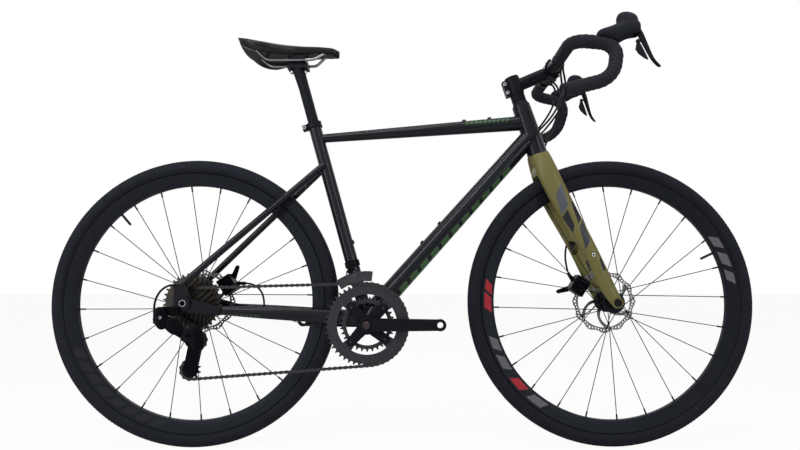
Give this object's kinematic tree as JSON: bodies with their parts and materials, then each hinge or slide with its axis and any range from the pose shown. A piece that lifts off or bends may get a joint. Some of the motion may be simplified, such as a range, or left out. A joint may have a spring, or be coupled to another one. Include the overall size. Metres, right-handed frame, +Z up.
{
  "type": "gravel_bike",
  "caption": "Gravel bike with drop handlebar, disc brakes, chain drive with derailleurs, black frame and olive green fork, without pedals",
  "frame": {"origin": "On the ground, midway between the two tyre contacts", "axes": "+X forward, +Y to the rider's left, +Z up; the chain is on the -Y side"},
  "size_m": [1.716, 0.5102, 0.9967],
  "materials": {
    "frame_paint": "gloss black paint over alloy tube",
    "fork_paint": "satin olive green paint",
    "black_alloy": "black anodised",
    "bright_steel": "ground steel",
    "dark_steel": "darkened steel",
    "tyre_rubber": "moulded rubber",
    "soft_rubber": "matt soft rubber",
    "black_plastic": "satin black",
    "saddle_leather": "smooth black cover"
  },
  "bodies": {
    "frame": {"head_tube": "frame_paint", "top_tube": "frame_paint", "down_tube": "frame_paint", "seat_tube": "frame_paint", "bottom_bracket_shell": "frame_paint", "rear_stays": "frame_paint", "dropouts": "black_alloy", "seat_clamp": "black_alloy", "frame_bearings": "bright_steel", "rear_axle": "bright_steel", "rear_caliper": "black_alloy", "front_derailleur_mount": "black_alloy", "rear_cables": "black_plastic", "chain": "dark_steel", "derailleur_frame_knuckle": "black_alloy"},
    "seatpost_body": {"seatpost": "black_alloy", "saddle_clamp": "black_alloy", "saddle_rails": "bright_steel", "saddle_shell": "black_plastic", "saddle_cover": "saddle_leather"},
    "steering_body": {"fork": "fork_paint", "headset_spacers": "black_alloy", "stem": "black_alloy", "stem_faceplate": "black_alloy", "handlebar": "black_alloy", "bar_tape": "soft_rubber", "lever_hoods": "soft_rubber", "front_axle": "bright_steel", "front_caliper": "black_alloy", "control_cables": "black_plastic"},
    "front_wheel": {"front_tyre": "tyre_rubber", "front_inner_tube": "soft_rubber", "front_rim": "black_alloy", "front_spokes": "dark_steel", "front_hub": "black_alloy", "front_rotor": "bright_steel"},
    "rear_wheel": {"rear_tyre": "tyre_rubber", "rear_inner_tube": "soft_rubber", "rear_rim": "black_alloy", "rear_spokes": "dark_steel", "rear_hub": "black_alloy", "rear_rotor": "bright_steel"},
    "cassette_body": {"cassette": "dark_steel"},
    "crankset": {"crank_right": "black_alloy", "crank_left": "black_alloy", "chainrings": "black_alloy"},
    "mech_outer_link": {"derailleur_outer_link": "black_alloy"},
    "mech_inner_link": {"derailleur_inner_link": "black_alloy"},
    "mech_knuckle": {"derailleur_cage_knuckle": "black_alloy"},
    "mech_cage": {"derailleur_cage": "black_alloy"},
    "guide_wheel": {"guide_pulley": "black_plastic"},
    "tension_wheel": {"tension_pulley": "black_plastic"},
    "front_mech_link": {"front_derailleur_link": "black_alloy"},
    "front_mech_cage": {"front_derailleur_cage": "bright_steel"},
    "left_lever": {"left_brake_lever": "black_alloy"},
    "right_lever": {"right_brake_lever": "black_alloy"},
    "left_paddle": {"left_shift_paddle": "black_plastic"},
    "right_paddle": {"right_shift_paddle": "black_plastic"},
    "front_brake_arm": {"front_caliper_arm": "black_alloy"},
    "rear_brake_arm": {"rear_caliper_arm": "black_alloy"}
  },
  "joints": [
    {"name": "steering", "type": "hinge", "parent": "frame", "child": "steering_body", "pos_m": [0.33494, 0, 0.71627], "axis": [-0.3123, 0, 0.95], "range_deg": [-60, 60], "deforming": ["control_cables"]},
    {"name": "front_wheel_spin", "type": "hinge", "parent": "steering_body", "child": "front_wheel", "pos_m": [0.508, 0, 0.35], "axis": [0, 1, 0], "continuous": true},
    {"name": "rear_wheel_spin", "type": "hinge", "parent": "frame", "child": "rear_wheel", "pos_m": [-0.508, 0, 0.35], "axis": [0, 1, 0], "continuous": true},
    {"name": "crank_spin", "type": "hinge", "parent": "frame", "child": "crankset", "pos_m": [-0.08506, 0, 0.299], "axis": [0, 1, 0], "continuous": true, "deforming": ["chain"]},
    {"name": "cassette_spin", "type": "hinge", "parent": "frame", "child": "cassette_body", "pos_m": [-0.508, 0, 0.35], "axis": [0, 1, 0], "continuous": true},
    {"name": "mech_outer_swing", "type": "hinge", "parent": "frame", "child": "mech_outer_link", "pos_m": [-0.545, -0.088, 0.312], "axis": [0.3674, 0.7071, 0.6042], "range_deg": [-15.5, 39]},
    {"name": "mech_inner_swing", "type": "hinge", "parent": "frame", "child": "mech_inner_link", "pos_m": [-0.55088, -0.07669, 0.30233], "axis": [0.3674, 0.7071, 0.6042], "range_deg": [-15.5, 39]},
    {"name": "mech_knuckle_swing", "type": "hinge", "parent": "mech_outer_link", "child": "mech_knuckle", "pos_m": [-0.49544, -0.088, 0.28187], "axis": [0.3674, 0.7071, 0.6042], "range_deg": [-39, 15.5]},
    {"name": "cage_swing", "type": "hinge", "parent": "mech_knuckle", "child": "mech_cage", "pos_m": [-0.487, -0.06, 0.262], "axis": [0, 1, 0], "range_deg": [-30, 20], "stiffness_Nm_per_rad": 1.5},
    {"name": "guide_wheel_spin", "type": "hinge", "parent": "mech_cage", "child": "guide_wheel", "pos_m": [-0.487, -0.048, 0.262], "axis": [0, 1, 0], "continuous": true},
    {"name": "tension_wheel_spin", "type": "hinge", "parent": "mech_cage", "child": "tension_wheel", "pos_m": [-0.49991, -0.048, 0.1932], "axis": [0, 1, 0], "continuous": true},
    {"name": "front_mech_swing", "type": "hinge", "parent": "frame", "child": "front_mech_link", "pos_m": [-0.1254, -0.04, 0.44347], "axis": [1, 0, 0], "range_deg": [0, 21.5]},
    {"name": "front_mech_cage_swing", "type": "hinge", "parent": "front_mech_link", "child": "front_mech_cage", "pos_m": [-0.1254, -0.045, 0.42347], "axis": [1, 0, 0], "range_deg": [-21.5, 0]},
    {"name": "left_brake_pull", "type": "hinge", "parent": "steering_body", "child": "left_lever", "pos_m": [0.50854, 0.19276, 0.95095], "axis": [0, 0.9874, 0.158], "range_deg": [0, 20], "stiffness_Nm_per_rad": 1.5, "springref_deg": -5.73},
    {"name": "right_brake_pull", "type": "hinge", "parent": "steering_body", "child": "right_lever", "pos_m": [0.50854, -0.19276, 0.95095], "axis": [0, 0.9874, -0.158], "range_deg": [0, 20], "stiffness_Nm_per_rad": 1.5, "springref_deg": -5.73},
    {"name": "left_shift", "type": "hinge", "parent": "left_lever", "child": "left_paddle", "pos_m": [0.50894, 0.19782, 0.91935], "axis": [-1, 0, 0], "range_deg": [0, 12], "stiffness_Nm_per_rad": 0.2, "springref_deg": -5.73},
    {"name": "right_shift", "type": "hinge", "parent": "right_lever", "child": "right_paddle", "pos_m": [0.50894, -0.19782, 0.91935], "axis": [1, 0, 0], "range_deg": [0, 12], "stiffness_Nm_per_rad": 0.2, "springref_deg": -5.73},
    {"name": "front_brake_arm_swing", "type": "hinge", "parent": "steering_body", "child": "front_brake_arm", "pos_m": [0.44694, 0.06, 0.38815], "axis": [0, 1, 0], "range_deg": [0, 25]},
    {"name": "rear_brake_arm_swing", "type": "hinge", "parent": "frame", "child": "rear_brake_arm", "pos_m": [-0.44831, 0.0725, 0.39026], "axis": [0, 1, 0], "range_deg": [0, 25]},
    {"name": "seatpost_slide", "type": "slide", "parent": "frame", "child": "seatpost_body", "axis": [-0.2689, 0, 0.9632], "range_m": [-0.08, 0.04]}
  ],
  "couplings": [
    {"joint": "cassette_spin", "follows": "crank_spin", "ratio": 2.8235},
    {"joint": "tension_wheel_spin", "follows": "crank_spin", "ratio": 4.3636},
    {"joint": "guide_wheel_spin", "follows": "crank_spin", "ratio": -4.3636},
    {"joint": "mech_inner_swing", "follows": "mech_outer_swing", "ratio": 1},
    {"joint": "mech_knuckle_swing", "follows": "mech_outer_swing", "ratio": -1},
    {"joint": "front_mech_cage_swing", "follows": "front_mech_swing", "ratio": -1},
    {"joint": "front_brake_arm_swing", "follows": "left_brake_pull", "ratio": 1.25},
    {"joint": "rear_brake_arm_swing", "follows": "right_brake_pull", "ratio": 1.25}
  ]
}
